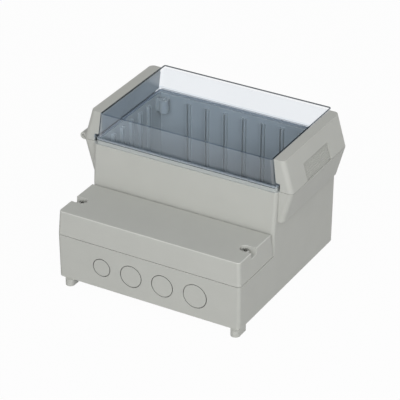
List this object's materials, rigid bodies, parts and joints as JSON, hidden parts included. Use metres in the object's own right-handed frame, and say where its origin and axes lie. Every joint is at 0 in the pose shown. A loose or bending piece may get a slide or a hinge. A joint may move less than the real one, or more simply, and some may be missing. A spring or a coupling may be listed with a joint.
{
  "type": "wall-mount enclosure",
  "caption": "Wall-mount enclosure with a low screwed terminal cover, a tall compartment and a clear lid hinged on the left, with grey side caps and cable knockouts.",
  "frame": {"origin": "centre of the wall plane: midway between the four wall screws, in the plane of the feet and pads that touch the wall", "axes": "+Z out of the wall towards the lid; -Y towards the terminal compartment, down when it hangs on a wall; +X to the right, away from the hinge"},
  "size_m": [0.1882, 0.1588, 0.1225],
  "materials": {
    "housing_grey": "fine satin moulded plastic, light warm grey",
    "clear_window": "clear polycarbonate with a faint blue-grey tint",
    "seal": "black moulded seal",
    "screw_steel": "zinc-plated steel",
    "insert_brass": "turned brass"
  },
  "bodies": {
    "base": {"base_housing": "housing_grey", "terminal_cover": "housing_grey", "cover_gasket": "seal", "cover_screw_left": "screw_steel", "screw_seal_left": "seal", "cover_insert_left": "insert_brass", "cover_screw_right": "screw_steel", "screw_seal_right": "seal", "cover_insert_right": "insert_brass", "hinge_pin_front": "screw_steel", "hinge_pin_rear": "screw_steel"},
    "lid": {"lid_window": "clear_window", "lid_gasket": "seal", "left_cap": "housing_grey", "right_cap": "housing_grey", "cap_screws_left": "screw_steel", "cap_screws_right": "screw_steel"}
  },
  "joints": [
    {"name": "lid_hinge", "type": "hinge", "parent": "base", "child": "lid", "pos_m": [-0.09369, 0.02669, 0.0955], "axis": [0, -1, 0], "range_deg": [0, 180]}
  ]
}
